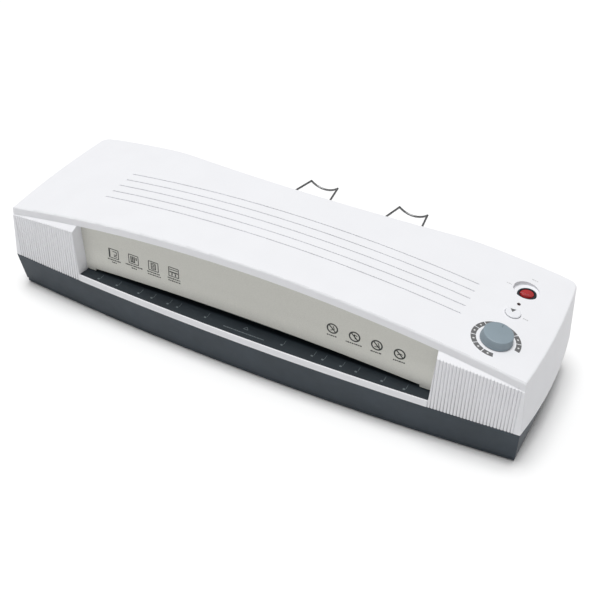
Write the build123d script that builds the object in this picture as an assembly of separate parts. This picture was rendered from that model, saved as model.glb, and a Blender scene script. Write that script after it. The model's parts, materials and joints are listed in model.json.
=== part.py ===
from build123d import *
import os
from math import atan, atan2, cos, degrees, pi, radians, sin, sqrt, tan

# Desktop pouch laminator for pouches up to A3.
# Modelled with X to the right, Y to the rear and Z up, in millimetres.  While the pieces are
# made, y = 0 is the straight front edge of the top and z = 0 the bottom edge of the tray;
# the last lines move everything so that the origin is the centre of the resting footprint.

# ---- driving dimensions ------------------------------------------------------------------
WALL = 2.5                 # moulded wall thickness
SEAM_Z = 36.4              # joint between the dark tray and the white cover
SEAM_HALF = 249.4          # half width at the seam
DRAFT = 0.069              # how much the side walls lean in, per mm of height
EDGE_Z = 90.0              # height of the top's front corners
CROWN_HALF = 245.0         # half width where EDGE_Z holds
CROWN_RISE = 22.8          # how much higher the middle is
BOW = 10.7                 # how far the middle of the front stands out past its ends
SEAM_FRONT = -0.8          # y of the front corners at the seam
SIDE_BOW = 5.0             # how far the sides belly out at the seam
BOW_FADE = 0.034           # and how much less per mm higher
REAR_CORNER = 144.2        # y of the rear corners
REAR_MID = 145.0           # y of the middle of the rear wall
CORNER_R = 8.0
TRAY_HALF = 248.0          # half width of the tray's bottom edge
TRAY_FRONT = 7.1           # y of its front corners
PLINTH_H = 4.0             # low step round the foot of the tray
FOOT_H = 1.5
FOOT_R = 8.0

LIP_H = 8.0                # upright face of the top's front edge
LEDGE_SLOPE = 0.65         # fall of the surface under that face, forwards
BAY_HALF = 170.1           # half width of the front recess, at its floor and the panel
BAY_FLARE = 0.227          # how much wider each side gets per mm forwards
BAY_DRAFT = 0.054          # and per mm upwards
BLOCK_INNER = 171.9        # inner edge of the ribs at their foot
STRIP_TOP = 43.0           # top of the white strip below the feed slot
PANEL_Y = 4.0
PANEL_T = 2.0
RIB_PITCH = 2.77
RIB_DEPTH = 1.3
RIB_COUNT = 26
GROOVE_Y = (42.3, 53.2, 64.1, 75.0, 85.9)
GROOVE_X = (-170.8, 175.1)
GROOVE_W = 1.4
GROOVE_DEPTH = 0.7
EDGE_R = 1.5               # rounding of the top's edges

NIP_Z = 45.0               # height of the film's path
ROLLER_R = 13.0
ROLLER_HALF = 160.0
NIP_GAP = 0.3
HOT_Y = 54.0
PULL_Y = 98.0
SHAFT_R = 4.0
RUN = 0.05                 # radial clearance of a running fit
GUIDE_TOP = 44.5           # lower side of the film channel
CHANNEL_TOP = 49.3         # upper side of the film channel
SLOT_HALF = 154.0          # half length of the feed and exit slots
FRAME_X = 178.0            # middle of each side frame plate
FRAME_T = 1.6
FRAME_Z0 = 8.0

GEAR_X = -187.0
GEAR_W = 6.0
ROLLER_TEETH = 26          # module 1, so the pitch radius is half the tooth count
IDLER_TEETH = 18
PINION_TEETH = 17
PRESSURE_ANGLE = 20.0
BACKLASH = 0.25

SCOOP_MID = 124.0          # y of the middle of the rear scoop
SCOOP_R = 660.0
SHELF_Z = 40.5             # ledge at the foot of the scoop
SUPPORT_X = 50.8           # centre of each wire support
SUPPORT_PIVOT = (141.0, 42.9)
SUPPORT_TIP = (257.0, 33.3)
SUPPORT_TIP_HALF = 15.4
SUPPORT_SPLAY = 0.16
SUPPORT_DIP = 6.0
WIRE_R = 1.1

PANEL_X = 210.0            # x where the controls' local plane touches the top
PANEL_MID_Y = 70.0
KNOB_AT = (209.7, 31.2)
BUTTON_AT = (210.6, 70.0)
LED_AT = (211.1, 83.5)
SWITCH_AT = (212.2, 102.2)
BEZEL_R = 8.2
BARREL_R = 7.6
WELL_AT = (210.8, 104.6)
WELL_R = 11.2
WELL_Z = 93.3
ROCKER_R = 6.1
ROCKER_DROP = 1.0          # the rocker's pivot lies this far below the well's floor
ROCKER_TILT = 8.0
BUTTON_R = 6.6
BUTTON_END = -7.3          # foot of the button's stem, below the top's surface
KNOB_R = 13.5
KNOB_H = 8.0
BOARD_W = -12.4            # top of the control board, below the top's surface
BOARD_HOLES = ((-20.0, -48.0), (16.0, -48.0), (-20.0, 16.0), (16.0, 16.0))

BOSSES = ((-236.0, 22.0), (236.0, 22.0), (-236.0, 126.0), (236.0, 126.0))
FEET = ((-215.0, 26.0), (215.0, 26.0), (-215.0, 122.0), (215.0, 122.0))
INLET_X = 205.0
INLET_Z = 18.0
INLET_REAR = 145.0

CROWN_R = (CROWN_HALF**2 + CROWN_RISE**2) / (2 * CROWN_RISE)
UPPER_Z = NIP_Z + NIP_GAP / 2 + ROLLER_R
LOWER_Z = NIP_Z - NIP_GAP / 2 - ROLLER_R
Y_MID = (SUPPORT_TIP[0] + WIRE_R - BOW + SEAM_FRONT) / 2
TIE_RODS = ((26.0, 66.0), (76.0, 72.0), (76.0, 14.0))
SPACERS = ((24.0, 46.0), (22.0, 15.0), (48.0, 14.2))
IDLER_AT = (76.0, LOWER_Z - 2.6)
PINION_AT = (HOT_Y - 20.0, LOWER_Z - 8.3)


# ---- small helpers -----------------------------------------------------------------------
def block(x0, x1, y0, y1, z0, z1):
    """A box from its low and high limits."""
    return Pos((x0 + x1) / 2, (y0 + y1) / 2, (z0 + z1) / 2) * Box(x1 - x0, y1 - y0, z1 - z0)


def post(x, y, z0, z1, r):
    """An upright cylinder."""
    return Pos(x, y, (z0 + z1) / 2) * Cylinder(r, z1 - z0)


def axle(x0, x1, y, z, r):
    """A cylinder along X."""
    return Pos((x0 + x1) / 2, y, z) * Rot(0, 90, 0) * Cylinder(r, x1 - x0)


def bar_x(points, half):
    """A bar along X, from -half to half, of the given (y, z) outline."""
    return extrude(make_face(Polyline(*[(-half, y, z) for y, z in points], close=True)), 2 * half,
                   dir=(1, 0, 0))


def crown_z(x):
    """Height of the top surface."""
    return EDGE_Z + CROWN_RISE - CROWN_R + sqrt(CROWN_R**2 - x**2)


def bow_y(x):
    """Front face of the cover, in plan."""
    return SEAM_FRONT - BOW * (1 - (x / SEAM_HALF) ** 2)


def both_sides(shape):
    """The shape and its mirror image across the middle."""
    return [shape, mirror(shape, Plane.YZ)]


# ---- housing -----------------------------------------------------------------------------
def outline(z, half, front, front_mid, side_bow, rear, rear_mid):
    """Plan of the housing at one height, with bowed front, sides and rear."""
    r = CORNER_R
    yc = rear - r
    s = r * sin(radians(45))
    side_mid = (front + yc) / 2
    right = [
        ThreePointArc((half, front, z), (half + side_bow, side_mid, z), (half, yc, z)),
        ThreePointArc((half, yc, z), (half - r + s, yc + s, z), (half - r, rear, z)),
    ]
    left = [
        ThreePointArc((r - half, rear, z), (r - half - s, yc + s, z), (-half, yc, z)),
        ThreePointArc((-half, yc, z), (-half - side_bow, side_mid, z), (-half, front, z)),
    ]
    face_front = ThreePointArc((-half, front, z), (0, front_mid, z), (half, front, z))
    face_rear = ThreePointArc((half - r, rear, z), (0, rear_mid, z), (r - half, rear, z))
    return make_face([face_front, *right, face_rear, *left])


def under_crown(inset, y0=-30.0, depth=220.0):
    """Everything below the crowned top, lowered by the inset."""
    half = CROWN_HALF + 20
    edge = crown_z(half) - inset
    arc = ThreePointArc((-half, y0, edge), (0, y0, crown_z(0) - inset), (half, y0, edge))
    frame = Polyline((half, y0, edge), (half, y0, 0), (-half, y0, 0), (-half, y0, edge))
    return extrude(make_face([arc, *frame.edges()]), depth, dir=(0, 1, 0))


def ledge_cut():
    """The space in front of the lip and above the end blocks' sloping tops."""
    half = CROWN_HALF + 20
    edge = crown_z(half) - LIP_H
    arc = ThreePointArc((-half, 0, edge), (0, 0, crown_z(0) - LIP_H), (half, 0, edge))
    frame = Polyline((half, 0, edge), (half, 0, 150), (-half, 0, 150), (-half, 0, edge))
    return extrude(make_face([arc, *frame.edges()]), 30, dir=(0, -1, -LEDGE_SLOPE))


def cover_body(inset):
    """The cover's outside, or its cavity when the inset is the wall thickness."""
    z0 = SEAM_Z if inset == 0 else SEAM_Z - 2
    sections = []
    for z in (z0, EDGE_Z + CROWN_RISE + 8):
        half = SEAM_HALF - DRAFT * (z - SEAM_Z) - inset
        front = SEAM_FRONT + inset
        belly = SIDE_BOW - BOW_FADE * (z - SEAM_Z)
        sections.append(outline(z, half, front, front - BOW, belly, REAR_CORNER - inset, REAR_MID - inset))
    shell = loft(sections, ruled=True) & under_crown(inset)
    return shell - Pos(0, inset, -inset) * ledge_cut()


def scoop(forward, z0, z1):
    """The hollow in the rear wall, its curved face moved forward by the given amount."""
    x1, out_r, end_slope, x3 = 130.0, 250.0, 0.05, 240.0
    mid = SCOOP_MID - forward
    slope = x1 / SCOOP_R
    y1 = mid + x1**2 / (2 * SCOOP_R)
    step = (slope - end_slope) * out_r
    x2, y2 = x1 + step, y1 + step * (slope + end_slope) / 2
    xm, ym = x1 + step / 2, y1 + step / 2 * slope - (step / 2) ** 2 / (2 * out_r)
    y3 = y2 + (x3 - x2) * end_slope
    hollow = ThreePointArc((-x1, y1, z0), (0, mid, z0), (x1, y1, z0))
    right = ThreePointArc((x1, y1, z0), (xm, ym, z0), (x2, y2, z0))
    left = ThreePointArc((-x2, y2, z0), (-xm, ym, z0), (-x1, y1, z0))
    frame = Polyline((x2, y2, z0), (x3, y3, z0), (x3, 175, z0), (-x3, 175, z0), (-x3, y3, z0), (-x2, y2, z0))
    return extrude(make_face([left, hollow, right, *frame.edges()]), z1 - z0, dir=(0, 0, 1))


def bay_prism(grow, z0, z1):
    """The front recess as a flared and drafted block, each side moved out by the given amount."""
    y0, y1 = -30.0, PANEL_Y + PANEL_T + 0.3

    def plan(z):
        base = BAY_HALF + grow + BAY_DRAFT * (z - STRIP_TOP)
        front, rear = (base - BAY_FLARE * (y - PANEL_Y) for y in (y0, y1))
        corners = ((-front, y0), (front, y0), (rear, y1), (-rear, y1))
        return make_face(Polyline(*[(x, y, z) for x, y in corners], close=True))

    return loft([plan(z0), plan(z1)], ruled=True)


def under_lip(gap):
    """Everything in front that is lower than the lip's underside, less a gap."""
    return Pos(0, 0, -LIP_H - gap) * under_crown(0)


def behind_bow(inset, half, rear, z0, z1):
    """A slab whose front follows the bowed front face at the given inset."""
    front = [(x, bow_y(x) + inset, z0) for x in (-half, 0, half)]
    frame = Polyline(front[2], (half, rear, z0), (-half, rear, z0), front[0])
    return extrude(make_face([ThreePointArc(*front), *frame.edges()]), z1 - z0, dir=(0, 0, 1))


def rib_cut():
    """What is taken off the right end block's front to leave its upright round ribs."""
    z = SEAM_Z - 1
    valleys = [BLOCK_INNER + i * RIB_PITCH for i in range(RIB_COUNT + 1)]
    arcs = []
    for a, b in zip(valleys, valleys[1:]):
        mid = (a + b) / 2
        start, end = ((x, bow_y(x) + RIB_DEPTH, z) for x in (a, b))
        arcs.append(ThreePointArc(start, (mid, bow_y(mid) + 0.1, z), end))
    first, last = valleys[0], valleys[-1]
    frame = Polyline((last, bow_y(last) + RIB_DEPTH, z), (last, -20, z), (first, -20, z),
                     (first, bow_y(first) + RIB_DEPTH, z))
    cut = extrude(make_face([*arcs, *frame.edges()]), 80, dir=(0, 0, 1))
    return cut & under_crown(LIP_H + 0.3)


def control_plane():
    """Plane that touches the top at the controls; its local Z is the surface's normal."""
    fall = PANEL_X / sqrt(CROWN_R**2 - PANEL_X**2)
    return Plane(origin=(PANEL_X, PANEL_MID_Y, crown_z(PANEL_X)), x_dir=(1, 0, -fall), z_dir=(fall, 0, 1))


def top_edge(shape):
    """The edge furthest out along the control plane's normal."""
    return shape.edges().sort_by(Axis((0, 0, 0), control_plane().z_dir))[-1:]


def control_post(at, w0, w1, r, r_top=None):
    """A cylinder or cone square to the top, between two heights over the control plane."""
    plane = control_plane()
    u = (at[0] - PANEL_X) / plane.x_dir.X
    v = at[1] - PANEL_MID_Y
    shape = Cylinder(r, w1 - w0) if r_top is None else Cone(r, r_top, w1 - w0)
    return plane * Pos(u, v, (w0 + w1) / 2) * shape


def control_box(u0, u1, v0, v1, w0, w1):
    """A box in the control plane's own directions."""
    return control_plane() * block(u0, u1, v0, v1, w0, w1)


def board_post(u, v, w0, w1, r):
    return control_plane() * post(u, v, w0, w1, r)


def groove(y):
    """One thin groove across the top, following the crown."""
    slab = block(*GROOVE_X, y - GROOVE_W / 2, y + GROOVE_W / 2, EDGE_Z, EDGE_Z + 40)
    return slab - under_crown(GROOVE_DEPTH)


def cover_outside():
    """The cover's outside with its rear scoop, the edges round the top softened."""
    shape = cover_body(0) - scoop(0, SHELF_Z, 150)
    rim = [e for e in shape.edges() if e.bounding_box().min.Z > EDGE_Z - 4]
    return fillet(rim, EDGE_R)


def top_cover():
    """White upper moulding with the ribbed end blocks, lip, strip, scoop and control holes."""
    cavity = cover_body(WALL) - bay_prism(WALL, SEAM_Z - 5, 130) - scoop(WALL, SHELF_Z - WALL, 150)
    cover = cover_outside() - cavity - (bay_prism(0, STRIP_TOP, 130) & under_lip(0))
    inside = cover_body(0.8) - scoop(0.8, SHELF_Z - 0.8, 150)
    for x, y in BOSSES:
        cover += post(x, y, SEAM_Z, 120, 4) & inside
    cover += post(*WELL_AT, WELL_Z - WALL, 110, WELL_R + WALL) & inside
    for u, v in BOARD_HOLES:
        cover += board_post(u, v, BOARD_W, -1, 2.6)
    strip_face = behind_bow(1.3, 178, 8, STRIP_TOP - 2.5, STRIP_TOP + 5)
    cover -= strip_face & bay_prism(0, STRIP_TOP - 5, STRIP_TOP + 9)
    cover -= block(-SLOT_HALF, SLOT_HALF, 115, 160, GUIDE_TOP, CHANNEL_TOP + 0.1)
    for cut in both_sides(rib_cut()):
        cover -= cut
    for y in GROOVE_Y:
        cover -= groove(y)
    cover -= post(*WELL_AT, WELL_Z, 110, WELL_R)
    cover -= post(*SWITCH_AT, WELL_Z - 6, 110, BARREL_R + 0.1)
    cover -= control_post(KNOB_AT, -6, 3, 4.2)
    cover -= control_post(BUTTON_AT, -6, 3, BUTTON_R + 0.35)
    cover -= control_post(LED_AT, -6, 3, 1.6)
    for x, y in BOSSES:
        cover -= post(x, y, SEAM_Z - 1, SEAM_Z + 16, 1.6)
    for u, v in BOARD_HOLES:
        cover -= board_post(u, v, BOARD_W - 1, BOARD_W + 7, 1.1)
    return cover


def tray_body(inset, z0):
    """The tray's outside above its plinth, or its cavity."""
    rise = SEAM_Z - PLINTH_H
    low = outline(PLINTH_H, TRAY_HALF - inset, TRAY_FRONT - 0.9 + inset,
                  TRAY_FRONT - 0.9 - BOW - 1.2 + inset, 0.6, REAR_CORNER - 2 - inset, REAR_MID - 2 - inset)
    high = outline(SEAM_Z, SEAM_HALF - inset, SEAM_FRONT + inset, SEAM_FRONT - BOW + inset, SIDE_BOW,
                   REAR_CORNER - inset, REAR_MID - inset)
    body = loft([low, high], ruled=True)
    if inset:
        body += extrude(low, PLINTH_H - z0, dir=(0, 0, -1))
        body += extrude(high, 2, dir=(0, 0, 1))
    return body


def base_tray():
    """Dark lower tray with its plinth, screw posts, frame pads, vents and inlet opening."""
    plinth = outline(0, TRAY_HALF - 0.6, TRAY_FRONT, TRAY_FRONT - BOW - 1.2, 0.6,
                     REAR_CORNER - 2.6, REAR_MID - 2.6)
    tray = tray_body(0, 0) + extrude(plinth, PLINTH_H, dir=(0, 0, 1)) - tray_body(WALL, WALL)
    for x, y in BOSSES:
        tray += post(x, y, WALL, SEAM_Z, 4.6)
        tray -= post(x, y, -1, SEAM_Z + 1, 1.7)
        tray -= post(x, y, -1, 10, 3.3)
    for side in (-1, 1):
        for y in (30.0, 106.0):
            x = side * (FRAME_X + 7)
            tray += block(x - 5, x + 5, y - 6, y + 6, WALL - 0.5, FRAME_Z0)
            tray -= post(x, y, WALL + 1, FRAME_Z0 + 1, 1.6)
    for x, y in FEET:
        tray -= post(x, y, -1, 1.0, FOOT_R + 0.1)
    for side in (-1, 1):
        for i in range(9):
            x = side * (30 + 14 * i)
            tray -= block(x - 2, x + 2, 40, 112, -1, WALL + 1)
    tray -= block(INLET_X - 14.2, INLET_X + 14.2, 120, 150, INLET_Z - 11.2, INLET_Z + 11.2)
    return tray


def rubber_feet():
    return [fillet(post(x, y, -FOOT_H, 1.0, FOOT_R).edges().group_by(Axis.Z)[0], 0.8) for x, y in FEET]


def front_panel():
    """Silver panel under the lip, its lower edge arched over the feed slot between two end pads."""
    notch, low, foot, crest = 160.5, 45.6, 47.8, 52.3
    y = PANEL_Y
    plate = bay_prism(-0.2, foot, 120) & block(-200, 200, y, y + PANEL_T, foot, 120) & under_lip(0.05)
    arch = ThreePointArc((notch, y, foot), (0, y, crest), (-notch, y, foot))
    frame = Polyline((-notch, y, foot), (-notch, y, low), (notch, y, low), (notch, y, foot))
    plate -= extrude(make_face([arch, *frame.edges()]), PANEL_T, dir=(0, 1, 0))
    pad_top = foot - 0.02
    pad = bay_prism(-0.2, low, pad_top) & block(notch, 200, y, y + PANEL_T, low, pad_top)
    return [plate, *both_sides(pad)]


def feed_guide():
    """Black entry table, which rises gently to the feed slot and runs in to the rollers."""
    z0 = STRIP_TOP - 2.4
    table = bar_x([(-14, z0), (38, z0), (38, GUIDE_TOP), (5, GUIDE_TOP), (-14, STRIP_TOP - 0.3)], 174)
    front = behind_bow(1.4, 178, PANEL_Y + PANEL_T + 0.2, z0 - 1, GUIDE_TOP + 1)
    table &= (front & bay_prism(-0.2, z0 - 1, GUIDE_TOP + 1)) + block(-168, 168, 5, 40, z0 - 1, GUIDE_TOP + 1)
    rail = [block(s - 4, s + 4, 8, 38, z0 - 6, z0) for s in (-120.0, 0.0, 120.0)]
    return table + rail


def throat_lip():
    """Black upper edge of the feed slot, with a bead along it."""
    y0 = PANEL_Y + PANEL_T
    body = bar_x([(y0, CHANNEL_TOP), (y0 + 3.5, CHANNEL_TOP), (y0 + 3.5, 58), (y0, 58)], 168)
    return body - bar_x([(y0 - 1, 50.6), (y0 + 0.7, 50.9), (y0 + 0.7, 51.6), (y0 - 1, 51.9)], 170)


def exit_bezel():
    """Black frame round the exit slot, with the lugs that hold the wire supports."""
    half = SLOT_HALF + 4
    band = scoop(-0.2, SHELF_Z, 55) - scoop(-1.9, SHELF_Z - 1, 56)
    band &= block(-half, half, 110, 160, SHELF_Z + 0.1, 54)
    y, z = SUPPORT_PIVOT
    pin_half = SUPPORT_TIP_HALF + SUPPORT_SPLAY * (SUPPORT_TIP[0] - y)
    foot = [block(-104, 104, 132.5, 145, SHELF_Z + 0.1, SHELF_Z + 0.9)]
    for centre in (-SUPPORT_X, SUPPORT_X):
        for side in (-1, 1):
            x = centre + side * (pin_half + 3.6)
            foot.append(block(x - 1.9, x + 1.9, y - 3, y + 3, SHELF_Z + 0.1, z))
            foot.append(axle(x - 1.9, x + 1.9, y, z, 2.2))
    bezel = band + foot
    bezel += block(-60, 60, 125, 134, SHELF_Z + 0.1, SHELF_Z + 0.9) - scoop(-200, SHELF_Z, 55)
    bezel &= scoop(-0.2, SHELF_Z - 1, 60)
    bezel -= block(-SLOT_HALF, SLOT_HALF, 110, 160, GUIDE_TOP, CHANNEL_TOP + 0.1)
    return bezel - axle(-110, 110, y, z, WIRE_R + RUN)


# ---- running gear ------------------------------------------------------------------------
def side_frame():
    """Steel side plate (right-hand one), with a foot flange and slots for the upper bearings."""
    x0 = FRAME_X - FRAME_T / 2
    plate = block(x0, x0 + FRAME_T, 20, 116, FRAME_Z0, 82)
    plate += block(x0, x0 + 14, 20, 116, FRAME_Z0, FRAME_Z0 + FRAME_T)
    for y in (HOT_Y, PULL_Y):
        plate -= axle(x0 - 2, x0 + 4, y, LOWER_Z, 6.0 + RUN)
        plate -= block(x0 - 2, x0 + 4, y - 6.1, y + 6.1, UPPER_Z - 7.5, 79)
    for y, z in TIE_RODS:
        plate -= axle(x0 - 2, x0 + 4, y, z, 3.05)
    for y in (30.0, 106.0):
        plate -= post(FRAME_X + 7, y, FRAME_Z0 - 1, FRAME_Z0 + 3, 1.8)
    return plate


def gear(teeth, at, tooth_angle):
    """Involute spur gear along X; one tooth's middle points at the given angle from +Y to +Z."""
    pitch, base = teeth / 2, teeth / 2 * cos(radians(PRESSURE_ANGLE))
    outer, root = pitch + 0.9, pitch - 1.2
    start = max(base, root)
    half_tooth = (pi / 2 - BACKLASH / 2) / teeth
    pressure = radians(PRESSURE_ANGLE)
    swing = half_tooth + tan(pressure) - pressure

    def flank(r, side):
        roll = sqrt((r / base) ** 2 - 1)
        angle = side * (swing - (roll - atan(roll)))
        return r, angle

    edges = []
    step = 2 * pi / teeth
    radii = [start + (outer - start) * i / 4 for i in range(5)]
    for k in range(teeth):
        middle = radians(tooth_angle) + k * step

        def at_polar(r, a):
            return (GEAR_X - GEAR_W / 2, at[0] + r * cos(a + middle), at[1] + r * sin(a + middle))

        rise = [at_polar(*flank(r, -1)) for r in radii]
        fall = [at_polar(*flank(r, 1)) for r in reversed(radii)]
        foot_in = at_polar(root, flank(start, -1)[1])
        foot_out = at_polar(root, flank(start, 1)[1])
        next_in = at_polar(root, flank(start, -1)[1] + step)
        gap_mid = at_polar(root, step / 2)
        edges += [Line(foot_in, rise[0]), Spline(*rise)]
        edges.append(ThreePointArc(rise[-1], at_polar(outer, 0), fall[0]))
        edges += [Spline(*fall), Line(fall[-1], foot_out), ThreePointArc(foot_out, gap_mid, next_in)]
    return extrude(make_face(edges), GEAR_W, dir=(1, 0, 0))


def mesh_angle(towards, angle, teeth, other_teeth):
    """Tooth angle of a gear that meshes with another lying in the given direction from it."""
    phase = ((towards - angle) / (360 / teeth)) % 1
    return towards + 180 - (0.5 - phase) * 360 / other_teeth


def direction(a, b):
    """Angle from +Y to +Z of the line from one (y, z) point to another."""
    return degrees(atan2(b[1] - a[1], b[0] - a[0]))


def roller(y, z):
    """Silicone sleeve of one roller."""
    sleeve = axle(-ROLLER_HALF, ROLLER_HALF, y, z, ROLLER_R)
    return sleeve - axle(-ROLLER_HALF - 1, ROLLER_HALF + 1, y, z, SHAFT_R + 0.02)


def roller_shaft(y, z):
    """Steel shaft of one roller."""
    return axle(-191.5, 184, y, z, SHAFT_R)


def roller_gear(y, z, angle):
    hub = axle(GEAR_X - GEAR_W / 2 - 1, GEAR_X + GEAR_W / 2 + 2, y, z, 7)
    return gear(ROLLER_TEETH, (y, z), angle) + hub - axle(-200, -170, y, z, SHAFT_R + 0.02)


def lower_bush(y):
    """Flanged bush in the right side frame."""
    bush = axle(FRAME_X - 3, FRAME_X + 3, y, LOWER_Z, 6)
    flange = axle(FRAME_X - 3, FRAME_X - FRAME_T / 2, y, LOWER_Z, 7.5)
    return bush + flange - axle(FRAME_X - 5, FRAME_X + 5, y, LOWER_Z, SHAFT_R + RUN)


def bearing_block(y):
    """Sliding bearing block of an upper roller, in the right side frame's slot."""
    body = block(FRAME_X - 3, FRAME_X + 3, y - 6, y + 6, UPPER_Z - 7, UPPER_Z + 7)
    return body - axle(FRAME_X - 5, FRAME_X + 5, y, UPPER_Z, SHAFT_R + RUN)


def pressure_spring(y):
    """Coil spring that presses an upper bearing block down."""
    z0, length, radius, wire = UPPER_Z + 7.5, 13.0, 3.2, 0.45
    path = Pos(FRAME_X, y, z0) * Helix(pitch=2.6, height=length - 1, radius=radius)
    start = path @ 0
    section = Plane(origin=start, z_dir=path % 0) * Circle(wire)
    return sweep(section, path=path)


def heater_shoe(z0, z1, roller_z):
    """Aluminium heater shoe, hollowed to follow its roller."""
    shoe = block(-158, 158, HOT_Y - 17, HOT_Y + 17, z0, z1)
    return shoe - axle(-170, 170, HOT_Y, roller_z, ROLLER_R + 1)


def film_guide(y0, y1, z, height):
    """Sheet metal guide beside the film path, with a stiffening flange."""
    inward = 1 if height > 0 else -1
    guide = block(-158, 158, y0, y1, min(z, z + inward), max(z, z + inward))
    return guide + block(-158, 158, y0, y0 + 1, min(z, z + height), max(z, z + height))


def motor():
    y, z = PINION_AT
    body = axle(-227.2, -201.2, y, z, 20) - axle(-214, -200, y, z, 3 + RUN)
    body += block(-224, -206, y - 8, y + 8, z + 18, z + 23)
    return body


def motor_bracket():
    """Plate that carries the motor, on three spacers from the left side frame."""
    y, z = PINION_AT
    plate = block(-201.2, -199.2, 15, 60, 7, 52) - axle(-203, -198, y, z, 6)
    for sy, sz in SPACERS:
        plate += axle(-199.3, -FRAME_X - FRAME_T / 2, sy, sz, 4)
    return plate


# ---- controls ----------------------------------------------------------------------------
def knob():
    """Grey temperature dial with a tapered side and a low rim round its foot."""
    body = control_post(KNOB_AT, 0.5, 1.8, KNOB_R)
    body += control_post(KNOB_AT, 1.8, KNOB_H, KNOB_R - 0.2, KNOB_R - 1.2)
    body = fillet(top_edge(body), 0.8)
    return body - control_post(KNOB_AT, 0, KNOB_H - 2, 3.02)


def reverse_button():
    body = control_post(BUTTON_AT, -3.4, 1.3, BUTTON_R)
    body = fillet(top_edge(body), 0.7)
    body += control_post(BUTTON_AT, -4.4, -3.3, BUTTON_R + 1.0)
    return body + control_post(BUTTON_AT, BUTTON_END, -4.3, 2)


def tact_switch():
    u = (BUTTON_AT[0] - PANEL_X) / control_plane().x_dir.X
    v = BUTTON_AT[1] - PANEL_MID_Y
    body = control_box(u - 3, u + 3, v - 3, v + 3, BOARD_W, BOARD_W + 3.5)
    return body - control_post(BUTTON_AT, BOARD_W - 1, BOARD_W + 5, 1.7 + RUN)


def potentiometer():
    body = control_post(KNOB_AT, BOARD_W, BOARD_W + 7, 8.5) + control_post(KNOB_AT, BOARD_W + 6.9, -3.4, 3.9)
    return body - control_post(KNOB_AT, BOARD_W - 1, 0, 3 + RUN)


def control_board():
    board = control_box(-24, 20, -52, 20, BOARD_W - 1.6, BOARD_W)
    board += control_box(-14, 6, -14, -2, BOARD_W - 4.2, BOARD_W - 1.5)
    board += control_box(-20, -8, 4, 12, BOARD_W - 9, BOARD_W - 1.5)
    for u, v in BOARD_HOLES:
        board -= board_post(u, v, BOARD_W - 3, BOARD_W + 1, 1.4)
    return board


def power_switch_body():
    """Round snap-in switch housing with its bezel and two terminals."""
    x, y = SWITCH_AT
    body = post(x, y, WELL_Z - 13, WELL_Z, BARREL_R) + post(x, y, WELL_Z, WELL_Z + 1.2, BEZEL_R)
    rim = body.edges().group_by(Axis.Z)[-1]
    body = fillet(rim, 0.5) - post(x, y, WELL_Z - ROCKER_DROP - 5, WELL_Z + 3, ROCKER_R + 0.3)
    body -= axle(x - 7.2, x + 7.2, y, WELL_Z - ROCKER_DROP, 0.9 + RUN)
    for dy in (-3.0, 3.0):
        body += block(x - 2.4, x + 2.4, y + dy - 0.4, y + dy + 0.4, WELL_Z - 20, WELL_Z - 12.9)
    return body


def power_rocker():
    """Red rocker on two trunnions: a ball cut flat below and to a valley on top, tilted to off."""
    x, y = SWITCH_AT
    middle = ROCKER_DROP + 1.0
    high = middle + 8 * tan(radians(ROCKER_TILT))
    ball = Sphere(ROCKER_R) & block(-8, 8, -8, 8, -3, 8)
    ball -= bar_x([(-8, high), (0, middle), (8, high), (8, 12), (-8, 12)], 9)
    ball += axle(-7.0, 7.0, 0, 0, 0.9)
    return Pos(x, y, WELL_Z - ROCKER_DROP) * Rot(-ROCKER_TILT, 0, 0) * ball


# ---- rear wire supports ------------------------------------------------------------------
def wire_support(centre):
    """Bent steel wire: two pivot pins, two splayed legs and a dipped crossbar."""
    y, z = SUPPORT_PIVOT
    wide = SUPPORT_TIP_HALF + SUPPORT_SPLAY * (SUPPORT_TIP[0] - y)
    legs = [(-wide - 6.5, y, z), (-wide, y, z), (-SUPPORT_TIP_HALF, *SUPPORT_TIP)]
    bar = ThreePointArc(legs[-1], (0, SUPPORT_TIP[0] + 0.5, SUPPORT_TIP[1] - SUPPORT_DIP),
                        (SUPPORT_TIP_HALF, *SUPPORT_TIP))
    right = [(-px, py, pz) for px, py, pz in reversed(legs)]
    shape = sweep(Plane(origin=bar @ 0, z_dir=bar % 0) * Circle(WIRE_R), path=bar)
    for a, b in [*zip(legs, legs[1:]), *zip(right, right[1:])]:
        run = Line(a, b)
        shape += sweep(Plane(origin=run @ 0, z_dir=run % 0) * Circle(WIRE_R), path=run)
    for bend in (legs[1], legs[2], right[0], right[1]):
        shape += Pos(*bend) * Sphere(WIRE_R)
    return Pos(centre, 0, 0) * shape


# ---- electrics and fasteners -------------------------------------------------------------
def mains_inlet():
    """Three-pin appliance inlet in the tray's rear wall."""
    x, z = INLET_X, INLET_Z
    body = block(x - 14, x + 14, 118, INLET_REAR, z - 11, z + 11)
    body -= block(x - 12, x + 12, 124, INLET_REAR + 1, z - 8, z + 8)
    for dx, dz in ((-7.0, -2.0), (7.0, -2.0), (0.0, 2.5)):
        body += block(x + dx - 1, x + dx + 1, 123, INLET_REAR - 6.5, z + dz - 2, z + dz + 2)
        body += block(x + dx - 0.5, x + dx + 0.5, 112.5, 118.5, z + dz - 2.4, z + dz + 2.4)
    return body


def power_board():
    board = block(192, 232, 40, 110, 8, 9.6)
    board += block(198, 224, 74, 104, 9.5, 32)
    board += block(196, 214, 44, 56, 9.5, 24)
    for y in (48.0, 62.0):
        board += post(224, y, 9.5, 26, 5)
    for x, y in ((195, 43), (229, 43), (195, 107), (229, 107)):
        board += post(x, y, WALL, 8.1, 2.5)
    return board


def cover_screw(x, y):
    return post(x, y, 7.8, 10, 2.9) + post(x, y, 9.9, SEAM_Z + 14, 1.5)


def frame_screw(x, y):
    z = FRAME_Z0 + FRAME_T
    return post(x, y, z, z + 2, 2.9) + post(x, y, WALL + 1.5, z + 0.1, 1.5)


def board_screw(u, v):
    return board_post(u, v, BOARD_W - 3.4, BOARD_W - 1.6, 2) + board_post(u, v, BOARD_W - 1.7, BOARD_W + 6, 1)


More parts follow.
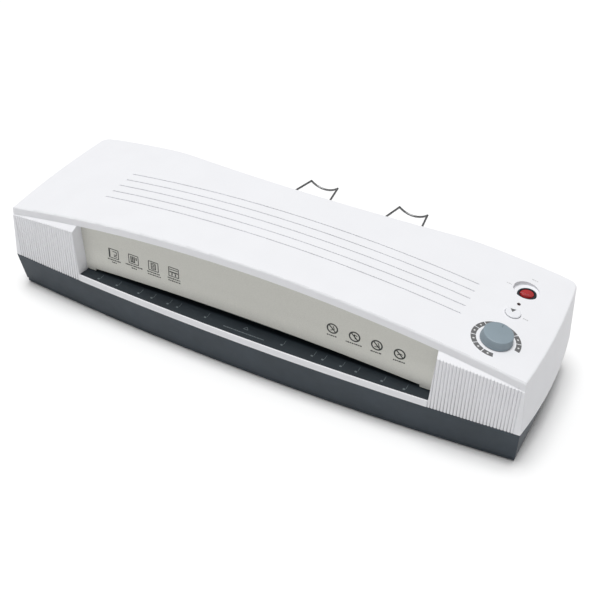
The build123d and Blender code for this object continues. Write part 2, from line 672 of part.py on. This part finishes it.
# ---- all pieces --------------------------------------------------------------------------
def pieces():
    """Every node's name and shape."""
    hot_low, hot_up = (HOT_Y, LOWER_Z), (HOT_Y, UPPER_Z)
    pull_low, pull_up = (PULL_Y, LOWER_Z), (PULL_Y, UPPER_Z)
    t = ROLLER_TEETH
    hot_angle = 90.0
    hot_up_angle = mesh_angle(90, hot_angle, t, t)
    idler_angle = mesh_angle(direction(hot_low, IDLER_AT), hot_angle, t, IDLER_TEETH)
    pull_angle = mesh_angle(direction(IDLER_AT, pull_low), idler_angle, IDLER_TEETH, t)
    pull_up_angle = mesh_angle(90, pull_angle, t, t)
    pinion_angle = mesh_angle(direction(hot_low, PINION_AT), hot_angle, t, PINION_TEETH)

    made = {
        "top_cover": top_cover(),
        "base_tray": base_tray(),
        "rubber_feet": rubber_feet(),
        "front_panel": front_panel(),
        "feed_guide": feed_guide(),
        "throat_lip": throat_lip(),
        "exit_bezel": exit_bezel(),
        "side_frame_right": side_frame(),
        "side_frame_left": mirror(side_frame(), Plane.YZ),
        "lower_bushes": [s for y in (HOT_Y, PULL_Y) for s in both_sides(lower_bush(y))],
        "upper_bearing_blocks": [s for y in (HOT_Y, PULL_Y) for s in both_sides(bearing_block(y))],
        "pressure_springs": [s for y in (HOT_Y, PULL_Y) for s in both_sides(pressure_spring(y))],
        "tie_rods": [axle(-FRAME_X - 2, FRAME_X + 2, y, z, 3) for y, z in TIE_RODS],
        "heater_shoe_upper": heater_shoe(UPPER_Z + 3, UPPER_Z + 18, UPPER_Z),
        "heater_shoe_lower": heater_shoe(LOWER_Z - 18, LOWER_Z - 3, LOWER_Z),
        "heater_mat_upper": block(-150, 150, HOT_Y - 15, HOT_Y + 15, UPPER_Z + 18, UPPER_Z + 19),
        "heater_mat_lower": block(-150, 150, HOT_Y - 15, HOT_Y + 15, LOWER_Z - 19, LOWER_Z - 18),
        "thermostat": post(60, HOT_Y, UPPER_Z + 19, UPPER_Z + 25, 8),
        "thermal_fuse": axle(-50, -38, HOT_Y, UPPER_Z + 21.2, 2.2),
        "entry_guide_upper": film_guide(10, 36, CHANNEL_TOP, 8),
        "middle_guide_upper": film_guide(68.5, 83.5, CHANNEL_TOP, 8),
        "middle_guide_lower": film_guide(68.5, 83.5, GUIDE_TOP - 0.1, -5),
        "exit_guide_lower": film_guide(112.2, 120.6, GUIDE_TOP - 0.1, -5),
        "motor": motor(),
        "motor_bracket": motor_bracket(),
        "motor_shaft": axle(-213.5, -183.5, *PINION_AT, 3),
        "motor_pinion": gear(PINION_TEETH, PINION_AT, pinion_angle) - axle(-200, -170, *PINION_AT, 3.02),
        "idler_pin": axle(-192, -FRAME_X - FRAME_T / 2, *IDLER_AT, 3),
        "idler_gear": gear(IDLER_TEETH, IDLER_AT, idler_angle) - axle(-200, -170, *IDLER_AT, 3 + RUN),
        "control_board": control_board(),
        "potentiometer": potentiometer(),
        "potentiometer_shaft": control_post(KNOB_AT, BOARD_W + 0.5, KNOB_H - 2.1, 3),
        "temperature_knob": knob(),
        "tact_switch": tact_switch(),
        "tact_plunger": control_post(BUTTON_AT, BOARD_W + 1.6, BUTTON_END, 1.7),
        "reverse_button": reverse_button(),
        "ready_lamp": control_post(LED_AT, BOARD_W, 0.25, 1.5),
        "power_switch_body": power_switch_body(),
        "power_rocker": power_rocker(),
        "wire_support_left": wire_support(-SUPPORT_X),
        "wire_support_right": wire_support(SUPPORT_X),
        "mains_inlet": mains_inlet(),
        "power_board": power_board(),
        "cover_screws": [cover_screw(x, y) for x, y in BOSSES],
        "frame_screws": [frame_screw(s * (FRAME_X + 7), y) for s in (-1, 1) for y in (30.0, 106.0)],
        "board_screws": [board_screw(u, v) for u, v in BOARD_HOLES],
    }
    for name, at, angle in (("hot_lower", hot_low, hot_angle), ("hot_upper", hot_up, hot_up_angle),
                            ("pull_lower", pull_low, pull_angle), ("pull_upper", pull_up, pull_up_angle)):
        made[f"{name}_roller"] = roller(*at)
        made[f"{name}_shaft"] = roller_shaft(*at)
        made[f"{name}_gear"] = roller_gear(*at, angle)
    return made


os.makedirs("parts", exist_ok=True)
to_origin = Pos(0, -Y_MID, FOOT_H)
for name, shape in pieces().items():
    solids = shape if isinstance(shape, list) else [shape]
    moved = [solid for part in solids for solid in (to_origin * part).solids()]
    export_step(moved[0] if len(moved) == 1 else Compound(children=moved), f"parts/{name}.step")
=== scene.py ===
import json
from math import cos, radians, sin, sqrt

import bmesh
import bpy
from mathutils import Matrix, Vector
from mathutils.bvhtree import BVHTree


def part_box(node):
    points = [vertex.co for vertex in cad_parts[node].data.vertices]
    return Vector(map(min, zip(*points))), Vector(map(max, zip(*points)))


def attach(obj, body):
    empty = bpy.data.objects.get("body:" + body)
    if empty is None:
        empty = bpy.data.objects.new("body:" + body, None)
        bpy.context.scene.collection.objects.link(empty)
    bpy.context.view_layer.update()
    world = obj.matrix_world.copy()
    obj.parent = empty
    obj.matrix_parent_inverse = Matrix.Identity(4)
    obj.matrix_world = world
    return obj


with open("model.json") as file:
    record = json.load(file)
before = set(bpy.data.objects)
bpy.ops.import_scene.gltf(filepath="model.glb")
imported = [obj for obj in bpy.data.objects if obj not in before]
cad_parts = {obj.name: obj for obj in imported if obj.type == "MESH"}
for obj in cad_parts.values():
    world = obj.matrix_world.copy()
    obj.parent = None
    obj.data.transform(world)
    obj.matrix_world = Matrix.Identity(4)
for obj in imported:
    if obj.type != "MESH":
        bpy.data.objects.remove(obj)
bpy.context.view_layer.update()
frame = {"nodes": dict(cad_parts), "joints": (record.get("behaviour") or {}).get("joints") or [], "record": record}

# Looks of the pouch laminator: camera, light, materials, printed marks, lines of painted shade and small trim.
# Everything is in metres, in the imported model's own frame: X right, Y to the rear, Z up.

MM = 0.001
INK = 0.06 * MM            # height of printed ink and painted shade above the surface under it
CLEAR = 20 * MM            # where the rays that look for a surface start, above the drawing plane
joints = {joint["name"]: joint for joint in frame["joints"]}
nodes = frame["nodes"]

# Sizes of the printed marks and the lines of painted shade, in millimetres.
STROKE = 0.8               # width of a pictogram's lines
GUIDE_WIDTHS = (151.5, 131.5, 108.0, 94.0, 77.0, 67.0, 38.0)   # half widths marked on the table
GROOVE_ENDS = (-170.4, 174.7)
GROOVE_FIRST = 53.8        # from the cover's front to the first groove
GROOVE_PITCH = 10.9
GROOVE_ROWS = 5
GROOVE_PARTS = 30          # short bars that make up one groove's line of painted shade
GROOVE_SHADE_WIDTH = 1.2
RIB_INNER = 171.9          # x of the first rib's edge
RIB_PITCH = 2.77
RIB_COUNT = 26
# width of the painted shade in each rib valley
RIB_SHADE_WIDTH = 0.84
FIELD_COUNT = 10           # numbered fields round the dial
FIELD_TURN = 29.1          # degrees from one to the next
FIELD_START = -8.0
FIELD_INNER = 16.4
FIELD_OUTER = 20.7


# ---- camera ------------------------------------------------------------------------------
def make_camera():
    """A long lens from the front right and above, as a product picture is taken."""
    data = bpy.data.cameras.new("camera")
    data.lens, data.sensor_width = 65.0, 36.0
    data.clip_start, data.clip_end = 0.05, 100.0
    camera = bpy.data.objects.new("camera", data)
    turn, tilt, roll = radians(26.21), radians(90 - 38.54), radians(1.88)
    rotation = Matrix.Rotation(turn, 4, "Z") @ Matrix.Rotation(tilt, 4, "X") @ Matrix.Rotation(roll, 4, "Z")
    camera.matrix_world = Matrix.Translation((0.3583, -0.74696, 0.65148)) @ rotation
    bpy.context.scene.collection.objects.link(camera)
    bpy.context.scene.camera = camera


make_camera()


# ---- node material helpers ---------------------------------------------------------------
def new_material(name):
    material = bpy.data.materials.new(name)
    material.use_nodes = True
    tree = material.node_tree
    shader = tree.nodes["Principled BSDF"]
    return material, tree, shader


def coordinates(tree):
    return tree.nodes.new("ShaderNodeTexCoord").outputs["Object"]


def noise(tree, scale, detail=2.0, roughness=0.5, stretch=None):
    """Noise in object space; stretch scales each axis."""
    node = tree.nodes.new("ShaderNodeTexNoise")
    node.inputs["Scale"].default_value = scale
    node.inputs["Detail"].default_value = detail
    node.inputs["Roughness"].default_value = roughness
    source = coordinates(tree)
    if stretch:
        mapping = tree.nodes.new("ShaderNodeMapping")
        mapping.inputs["Scale"].default_value = stretch
        tree.links.new(source, mapping.inputs["Vector"])
        source = mapping.outputs["Vector"]
    tree.links.new(source, node.inputs["Vector"])
    return node.outputs["Fac"]


def ramp(tree, factor, low, high, colour_a, colour_b):
    """A colour that goes from one to the other as the factor goes from low to high."""
    node = tree.nodes.new("ShaderNodeValToRGB")
    node.color_ramp.elements[0].position = low
    node.color_ramp.elements[0].color = (*colour_a, 1)
    node.color_ramp.elements[1].position = high
    node.color_ramp.elements[1].color = (*colour_b, 1)
    tree.links.new(factor, node.inputs["Fac"])
    return node.outputs["Color"]


def spread(tree, factor, low, high):
    """The factor mapped to a range of values."""
    node = tree.nodes.new("ShaderNodeMapRange")
    node.inputs["To Min"].default_value = low
    node.inputs["To Max"].default_value = high
    tree.links.new(factor, node.inputs["Value"])
    return node.outputs["Result"]


def bump(tree, shader, height, strength, distance):
    node = tree.nodes.new("ShaderNodeBump")
    node.inputs["Strength"].default_value = strength
    node.inputs["Distance"].default_value = distance
    tree.links.new(height, node.inputs["Height"])
    tree.links.new(node.outputs["Normal"], shader.inputs["Normal"])


def moulded_plastic(name, colour, roughness=0.42, grain=900.0, depth=0.00006, vary=0.05, specular=0.5):
    """Injection-moulded plastic: spark-eroded grain, faint cloudiness and uneven sheen."""
    material, tree, shader = new_material(name)
    dull = tuple(c * (1 - vary) for c in colour)
    tint = ramp(tree, noise(tree, 35, 3), 0.35, 0.65, dull, colour)
    tree.links.new(tint, shader.inputs["Base Color"])
    tree.links.new(spread(tree, noise(tree, 120, 2), roughness - 0.05, roughness + 0.07),
                   shader.inputs["Roughness"])
    shader.inputs["Specular IOR Level"].default_value = specular
    bump(tree, shader, noise(tree, grain, 2, 0.6), 0.35, depth)
    return material


def metal(name, colour, roughness, stretch=(1, 1, 1)):
    """Drawn, turned or rolled metal with streaks along the stretched axis."""
    material, tree, shader = new_material(name)
    dark = tuple(c * 0.72 for c in colour)
    streaks = noise(tree, 500, 3, 0.6, stretch)
    tree.links.new(ramp(tree, streaks, 0.3, 0.7, dark, colour), shader.inputs["Base Color"])
    tree.links.new(spread(tree, streaks, roughness - 0.08, roughness + 0.1), shader.inputs["Roughness"])
    shader.inputs["Metallic"].default_value = 1.0
    bump(tree, shader, streaks, 0.3, 0.00003)
    return material


def silver_paint():
    """Warm silver paint over plastic: fine flake under a satin coat, with painted light that makes it paler
    towards its foot.
    """
    material, tree, shader = new_material("silver_paint")
    flake = noise(tree, 2600, 1, 0.5)
    paint = ramp(tree, flake, 0.3, 0.75, (0.49, 0.49, 0.45), (0.655, 0.65, 0.605))
    split = tree.nodes.new("ShaderNodeSeparateXYZ")
    tree.links.new(coordinates(tree), split.inputs["Vector"])
    # Painted light: the paint colour is lifted towards the panel's foot, standing in for light bounced up onto it.
    foot_light_ramp = tree.nodes.new("ShaderNodeMapRange")
    for socket, value in (("From Min", 0.048), ("From Max", 0.075), ("To Min", 1.0), ("To Max", 0.0)):
        foot_light_ramp.inputs[socket].default_value = value
    tree.links.new(split.outputs["Z"], foot_light_ramp.inputs["Value"])
    painted_light_lift = tree.nodes.new("ShaderNodeMix")
    painted_light_lift.data_type, painted_light_lift.blend_type = "RGBA", "ADD"
    painted_light_lift.inputs["B"].default_value = (0.13, 0.13, 0.125, 1)
    tree.links.new(foot_light_ramp.outputs["Result"], painted_light_lift.inputs["Factor"])
    tree.links.new(paint, painted_light_lift.inputs["A"])
    tree.links.new(painted_light_lift.outputs["Result"], shader.inputs["Base Color"])
    shader.inputs["Metallic"].default_value = 0.25
    tree.links.new(spread(tree, noise(tree, 300, 2), 0.36, 0.48), shader.inputs["Roughness"])
    bump(tree, shader, flake, 0.15, 0.00003)
    return material


def rubber(name, colour):
    return moulded_plastic(name, colour, 0.75, 700, 0.0001, 0.25, 0.3)


def tinted_lens(name, colour, roughness=0.18):
    """Glossy tinted plastic with faint moulding flow."""
    material, tree, shader = new_material(name)
    deep = tuple(c * 0.7 for c in colour)
    tree.links.new(ramp(tree, noise(tree, 180, 2), 0.35, 0.7, deep, colour), shader.inputs["Base Color"])
    tree.links.new(spread(tree, noise(tree, 400, 2), roughness - 0.04, roughness + 0.06),
                   shader.inputs["Roughness"])
    shader.inputs["Coat Weight"].default_value = 0.5
    shader.inputs["Coat Roughness"].default_value = 0.12
    bump(tree, shader, noise(tree, 500, 1), 0.1, 0.00003)
    return material


def ink_or_painted_shade(name, colour):
    """Pad-printed ink with a slightly broken surface; the groove and rib colours made with it are painted shade,
    not print.
    """
    return moulded_plastic(name, colour, 0.5, 2500, 0.00002, 0.12, 0.4)


materials = {
    "white_shell": moulded_plastic("white_shell", (0.83, 0.835, 0.86), vary=0.015, specular=0.22),
    "dark_shell": moulded_plastic("dark_shell", (0.040, 0.053, 0.067), 0.5, 800, 0.00008, 0.15, 0.25),
    "silver_panel": silver_paint(),
    "black_plastic": moulded_plastic("black_plastic", (0.016, 0.024, 0.031), 0.5, 800, 0.00008, 0.2, 0.35),
    "grey_knob": moulded_plastic("grey_knob", (0.27, 0.335, 0.38), 0.42, 900, 0.00006, 0.08),
    "white_button": moulded_plastic("white_button", (0.84, 0.85, 0.88), 0.38),
    "red_rocker": tinted_lens("red_rocker", (0.50, 0.012, 0.014), 0.24),
    "lamp": tinted_lens("lamp", (0.035, 0.012, 0.012)),
    "rubber": rubber("rubber", (0.03, 0.03, 0.032)),
    "steel": metal("steel", (0.62, 0.62, 0.63), 0.3, (0.05, 1, 1)),
    "zinc_steel": metal("zinc_steel", (0.60, 0.61, 0.61), 0.42),
    "wire_steel": metal("wire_steel", (0.27, 0.27, 0.275), 0.36, (1, 0.1, 1)),
    "aluminium": metal("aluminium", (0.78, 0.78, 0.79), 0.38, (0.05, 1, 1)),
    "silicone": rubber("silicone", (0.36, 0.12, 0.07)),
    "acetal": moulded_plastic("acetal", (0.75, 0.74, 0.68), 0.4),
    "mica": moulded_plastic("mica", (0.45, 0.33, 0.19), 0.6, 300, 0.0001, 0.3),
    "board": moulded_plastic("board", (0.03, 0.16, 0.07), 0.35, 1200, 0.00003, 0.2),
    "brass": metal("brass", (0.70, 0.50, 0.22), 0.35, (0.05, 1, 1)),
}
for part in frame["record"]["subparts"]:
    mesh = nodes[part["node"]].data
    mesh.materials.clear()
    mesh.materials.append(materials[part["material_slot"]])


# ---- printed marks, painted shade lines and small trim -----------------------------------
def surface_of(node):
    """A search tree over one CAD node's faces, to lay thin pieces on it."""
    mesh = nodes[node].data
    corners = [vertex.co.copy() for vertex in mesh.vertices]
    return BVHTree.FromPolygons(corners, [list(face.vertices) for face in mesh.polygons])


class Sheet:
    """A flat drawing plane laid over a CAD surface: origin, its two directions and its normal."""

    def __init__(self, node, origin, u_dir, v_dir):
        self.origin = Vector(origin)
        self.u = Vector(u_dir).normalized()
        self.v = Vector(v_dir).normalized()
        self.normal = self.u.cross(self.v)
        self.tree = surface_of(node)

    def point(self, u, v):
        """The surface under a point of the drawing, given in millimetres."""
        flat = self.origin + self.u * u * MM + self.v * v * MM
        hit = self.tree.ray_cast(flat + self.normal * CLEAR, -self.normal)[0]
        return hit or flat


def lay_print_or_shade(name, sheet, outlines, colour, body="housing", height=INK):
    """Thin raised ink or painted shade: each outline becomes a closed slab standing just proud of the surface."""
    shape = bmesh.new()
    for outline in outlines:
        ground = [sheet.point(u, v) for u, v in outline]
        low = [shape.verts.new(p - sheet.normal * 0.03 * MM) for p in ground]
        high = [shape.verts.new(p + sheet.normal * height) for p in ground]
        shape.faces.new(high)
        shape.faces.new(reversed(low))
        count = len(ground)
        for i in range(count):
            j = (i + 1) % count
            shape.faces.new((low[i], low[j], high[j], high[i]))
    bmesh.ops.recalc_face_normals(shape, faces=shape.faces)
    add_piece(name, shape, *print_and_shade_inks[colour], body)


def add_piece(name, shape, material, slot, body):
    """A new piece in the scene from a finished shape, carried by one body."""
    mesh = bpy.data.meshes.new(name)
    shape.to_mesh(mesh)
    shape.free()
    mesh.materials.append(material)
    piece = bpy.data.objects.new(name, mesh)
    bpy.context.scene.collection.objects.link(piece)
    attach(piece, body)


def bar(u, v, width, height):
    """A rectangle centred on a point."""
    return [(u - width / 2, v - height / 2), (u + width / 2, v - height / 2),
            (u + width / 2, v + height / 2), (u - width / 2, v + height / 2)]


def arc_band(u, v, inner, outer, start, end, steps):
    """Part of a flat ring, between two angles in degrees."""
    turns = [radians(start + (end - start) * i / steps) for i in range(steps + 1)]
    return ([(u + outer * cos(t), v + outer * sin(t)) for t in turns]
            + [(u + inner * cos(t), v + inner * sin(t)) for t in reversed(turns)])


def ring(u, v, inner, outer):
    """A full flat ring, made of 24 short bands."""
    step = 360 / 24
    return [arc_band(u, v, inner, outer, i * step, (i + 1) * step, 2) for i in range(24)]


def stroke(points, width):
    """A polyline drawn as one straight bar per leg."""
    bars = []
    for (u0, v0), (u1, v1) in zip(points, points[1:]):
        length = sqrt((u1 - u0) ** 2 + (v1 - v0) ** 2)
        du, dv = (v0 - v1) / length * width / 2, (u1 - u0) / length * width / 2
        bars.append([(u0 - du, v0 - dv), (u1 - du, v1 - dv), (u1 + du, v1 + dv), (u0 + du, v0 + dv)])
    return bars


def caption(u, v, width, height, seed):
    """A line of small dashes that stands for a caption."""
    dashes, start, i = [], u - width / 2, seed
    while start < u + width / 2 - 0.5:
        length = min((1.5, 0.9, 2.1, 1.2)[i % 4], u + width / 2 - start)
        dashes.append(bar(start + length / 2, v, length, height))
        start += length + 0.45
        i += 1
    return dashes


print_and_shade_inks = {
    "black": (ink_or_painted_shade("ink_black", (0.035, 0.037, 0.035)), "black_plastic"),
    "grey": (ink_or_painted_shade("ink_grey", (0.15, 0.15, 0.152)), "black_plastic"),
    "knob_grey": (ink_or_painted_shade("ink_knob_grey", (0.20, 0.25, 0.285)), "grey_knob"),
    "pale_grey": (ink_or_painted_shade("ink_pale_grey", (0.60, 0.60, 0.61)), "white_shell"),
    "white": (ink_or_painted_shade("ink_white", (0.75, 0.75, 0.75)), "white_button"),
    "dim_white": (ink_or_painted_shade("ink_dim_white", (0.13, 0.155, 0.165)), "black_plastic"),
    # Painted shade: a grey a little darker than the shell, laid in the grooves on the top.
    "shade_in_grooves": (ink_or_painted_shade("painted_groove_shade", (0.74, 0.745, 0.765)), "white_shell"),
    # Painted shade: a mid grey laid up the valleys between the ribs.
    "shade_in_rib_valleys": (ink_or_painted_shade("painted_rib_shade", (0.50, 0.50, 0.52)), "white_shell"),
}


def pictograms(panel):
    """Four square pictograms with two-line captions, on the left of the panel."""
    squares = ((-138.4, 26.9), (-117.0, 28.1), (-96.0, 28.3), (-74.8, 29.4))
    frames = []
    for u, v in squares:
        frames += stroke([(u - 5, v - 4.8), (u + 5, v - 4.8), (u + 5, v + 4.8), (u - 5, v + 4.8),
                          (u - 5, v - 5.2)], STROKE)
    lay_print_or_shade("pictogram_frames", panel, frames, "black")
    (u1, v1), (u2, v2), (u3, v3), (u4, v4) = squares
    hook = stroke([(u1 - 1, v1 + 2.5), (u1 + 3, v1 + 2.5), (u1 + 3, v1 - 1), (u1, v1 - 1)], STROKE)
    hook += [bar(u1 + 1.6, v1 - 2.6, 3.4, 1.0), bar(u1 - 4.2, v1, 1.0, 8.0)]
    stack = [bar(u2 - 1.2 + d, v2 + 0.4, 1.1, 6.0) for d in (-1.4, 0.3, 2.0)]
    stack += [bar(u2 - 0.8, v2 - 2.9, 5.0, 0.9), bar(u2 + 2.9, v2 + 1.4, 1.2, 3.2)]
    page = stroke([(u3 - 2.2, v3 + 3.2), (u3 + 2.2, v3 + 3.2), (u3 + 2.2, v3 - 3.2),
                   (u3 - 2.2, v3 - 3.2), (u3 - 2.2, v3 + 3.5)], STROKE)
    page += [bar(u3, v3 + d, 3.0, 0.8) for d in (-1.6, 0.0, 1.6)]
    table = [bar(u4, v4 + 2.6, 8.6, 0.8), bar(u4, v4 - 0.2, 8.6, 1.3)]
    table += [bar(u4 + d, v4 - 2.6, 1.2, 2.6) for d in (-1.8, 1.8)]
    lay_print_or_shade("pictogram_signs", panel, hook + stack + page + table, "black")
    lines = []
    for i, ((u, v), (upper, lower)) in enumerate(zip(squares, ((14, 6), (18, 6.3), (14, 13.5), (13, 12.5)))):
        lines += caption(u, v - 7.2, upper, 1.3, i)
        lines += caption(u + 0.3, v - 9.8, lower, 1.2, i + 1)
    lay_print_or_shade("pictogram_captions", panel, lines, "black")


def prohibitions(panel):
    """Four prohibition rings with one-line captions, on the right of the panel."""
    centres = ((80.0, 28.9), (100.3, 28.3), (120.4, 27.6), (140.7, 26.6))
    rings = [band for u, v in centres for band in ring(u, v, 3.95, 5.3)]
    slashes = [stroke([(u - 2.9, v + 2.9), (u + 2.9, v - 2.9)], 1.15)[0] for u, v in centres]
    lay_print_or_shade("prohibition_rings", panel, rings + slashes, "black")
    (u1, v1), (u2, v2), (u3, v3), (u4, v4) = centres
    signs = stroke([(u1 - 1.8, v1 - 2.4), (u1 + 1.8, v1 - 0.4), (u1 + 0.6, v1 + 2.8)], STROKE)
    signs += stroke([(u2 + 2.6, v2 + 0.9), (u2 - 0.4, v2 + 2.2), (u2 + 0.8, v2 - 2.4)], STROKE)
    signs += stroke([(u3 - 2.0, v3 - 2.2), (u3 + 2.4, v3 - 1.2), (u3 + 0.8, v3 + 2.8)], STROKE)
    signs += stroke([(u4 - 2.2, v4 - 1.6), (u4 + 0.6, v4 + 0.6), (u4 + 2.6, v4 - 0.2)], STROKE)
    lay_print_or_shade("prohibition_signs", panel, signs, "black")
    lines = []
    for i, ((u, v), width) in enumerate(zip(centres, (9.6, 15.3, 10.3, 10.6))):
        lines += caption(u, v - 7.6, width, 1.25, i)
    lay_print_or_shade("prohibition_captions", panel, lines, "black")


def panel_marks():
    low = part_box("front_panel")[0]
    panel = Sheet("front_panel", (0, low[1], low[2]), (1, 0, 0), (0, 0, 1))
    pictograms(panel)
    prohibitions(panel)


def guide_marks():
    """Ticks with a small bar for each figure, and a centre mark, printed along the feed table."""
    low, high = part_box("feed_guide")
    table = Sheet("feed_guide", (0, low[1], high[2]), (1, 0, 0), (0, 1, 0))
    ticks, figures = [], []
    for x in GUIDE_WIDTHS:
        for side in (-1, 1):
            ticks.append(bar(side * x, 10.6, 0.35, 5.0))
            figures.append(bar(side * x - 1.4, 7.0, 2.0, 1.5))
    lay_print_or_shade("width_ticks", table, ticks, "dim_white")
    lay_print_or_shade("width_figures", table, figures, "dim_white")
    centre = stroke([(-2.2, 9.6), (0.0, 12.6), (2.2, 9.6), (-2.5, 9.6)], 0.5)
    lay_print_or_shade("centre_mark", table, centre, "dim_white")
    lay_print_or_shade("feed_caption", table, caption(0.3, 5.1, 40, 0.9, 0), "dim_white")


def paint_groove_shade():
    """Painted shade: a grey line along the bottom of each of the five grooves across the top, standing in for the
    shade in the groove.
    """
    low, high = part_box("top_cover")
    top = Sheet("top_cover", (0, low[1], high[2]), (1, 0, 0), (0, 1, 0))
    start, end = GROOVE_ENDS
    step = (end - start) / GROOVE_PARTS
    lines = [bar(start + (i + 0.5) * step, GROOVE_FIRST + GROOVE_PITCH * row, step, GROOVE_SHADE_WIDTH)
             for row in range(GROOVE_ROWS) for i in range(GROOVE_PARTS)]
    # These lines are painted shade in the grooves, not print.
    lay_print_or_shade("paint_groove_shade", top, lines, "shade_in_grooves")


def paint_rib_shade():
    """Painted shade: a grey line up the valley between each two ribs of the end blocks, standing in for the shade
    in the valley.
    """
    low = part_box("top_cover")[0]
    front = Sheet("top_cover", (0, low[1], low[2]), (1, 0, 0), (0, 0, 1))
    half, step = RIB_SHADE_WIDTH / 2, 0.5
    lines = []
    for i in range(1, RIB_COUNT):
        for side in (-1, 1):
            u = side * (RIB_INNER + RIB_PITCH * i)
            top = 20.0
            while front.point(u, top + step).y - front.point(u, top).y < 0.4 * MM:
                top += step
            lines.append([(u - half, 0.1), (u + half, 0.1), (u + half, top), (u - half, top)])
    lay_print_or_shade("paint_rib_shade", front, lines, "shade_in_rib_valleys")


def control_sheet(node, centre):
    """The controls' plane, square to the dial's axis, with its origin at a point in the frame."""
    normal = Vector(joints["temperature_dial"]["axis"]).normalized()
    across = Vector((0, 1, 0)).cross(normal)
    return Sheet(node, centre, across, Vector((0, 1, 0)))


def middle_of(node):
    """The middle of one node's box."""
    low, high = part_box(node)
    return [(a + b) / 2 for a, b in zip(low, high)]


def dial_marks():
    """Grey fields round the dial, each with a small pale bar, and a pointer on the dial itself."""
    dial = control_sheet("top_cover", joints["temperature_dial"]["pos_m"])
    fields, figures = [], []
    middle = (FIELD_INNER + FIELD_OUTER) / 2
    for i in range(FIELD_COUNT):
        start = FIELD_START + FIELD_TURN * i
        fields.append(arc_band(0, 0, FIELD_INNER, FIELD_OUTER, start + 1.1, start + 28.0, 6))
        turn = radians(start + 14.5)
        figures.append(bar(middle * cos(turn), middle * sin(turn), 1.5, 1.4))
    lay_print_or_shade("dial_fields", dial, fields, "grey")
    lay_print_or_shade("dial_figures", dial, figures, "white", height=2 * INK)
    knob = control_sheet("temperature_knob", joints["temperature_dial"]["pos_m"])
    lay_print_or_shade("knob_pointer", knob, [bar(0, 9.0, 0.9, 3.4)], "knob_grey", "temperature_knob")


def button_marks():
    """A triangle on the reverse button and three small captions near the controls."""
    button = control_sheet("reverse_button", middle_of("reverse_button"))
    lay_print_or_shade("reverse_arrow", button, [[(-3.3, 2.8), (-0.6, -0.7), (1.6, 4.0)]], "grey", "reverse_button")
    cover = control_sheet("top_cover", joints["power_rocker_tilt"]["pos_m"])
    lay_print_or_shade("switch_captions", cover, caption(-17.2, 1.6, 4.6, 1.1, 1) + caption(0.2, 19.4, 5.4, 1.1, 2)
            + caption(9.2, -33.0, 4.6, 1.2, 0), "pale_grey")


panel_marks()
guide_marks()
paint_groove_shade()
paint_rib_shade()
dial_marks()
button_marks()


# ---- floor and light ---------------------------------------------------------------------
def make_floor():
    """A plain pale floor, large enough to reach the horizon in a low view."""
    mesh = bpy.data.meshes.new("floor")
    size = 24.0
    corners = [(-size, -size, 0), (size, -size, 0), (size, size, 0), (-size, size, 0)]
    mesh.from_pydata(corners, [], [(0, 1, 2, 3)])
    floor = bpy.data.objects.new("floor", mesh)
    bpy.context.scene.collection.objects.link(floor)
    material, tree, shader = new_material("floor")
    tree.links.new(ramp(tree, noise(tree, 3, 2), 0.2, 0.8, (0.97, 0.97, 0.97), (0.99, 0.99, 0.99)),
                   shader.inputs["Base Color"])
    shader.inputs["Roughness"].default_value = 0.9
    shader.inputs["Specular IOR Level"].default_value = 0.1
    mesh.materials.append(material)


def make_light():
    """A room that is brightest overhead and to the left, and one large soft source high in front."""
    world = bpy.data.worlds.new("studio")
    world.use_nodes = True
    tree = world.node_tree
    height = tree.nodes.new("ShaderNodeVectorMath")
    height.operation = "DOT_PRODUCT"
    height.inputs[1].default_value = (-0.4, 0, 1)
    tree.links.new(tree.nodes.new("ShaderNodeTexCoord").outputs["Generated"], height.inputs[0])
    background = tree.nodes["Background"]
    tree.links.new(spread(tree, height.outputs["Value"], 0.10, 0.56), background.inputs["Strength"])
    background.inputs["Color"].default_value = (1.0, 1.0, 1.0, 1)
    bpy.context.scene.world = world
    data = bpy.data.lights.new("key", "SUN")
    data.energy, data.angle = 2.2, radians(28)
    light = bpy.data.objects.new("key", data)
    light.rotation_euler = Vector((-0.03, -0.07, 1)).to_track_quat("Z", "Y").to_euler()
    bpy.context.scene.collection.objects.link(light)


make_floor()
make_light()
bpy.context.scene.view_settings.view_transform = "Standard"
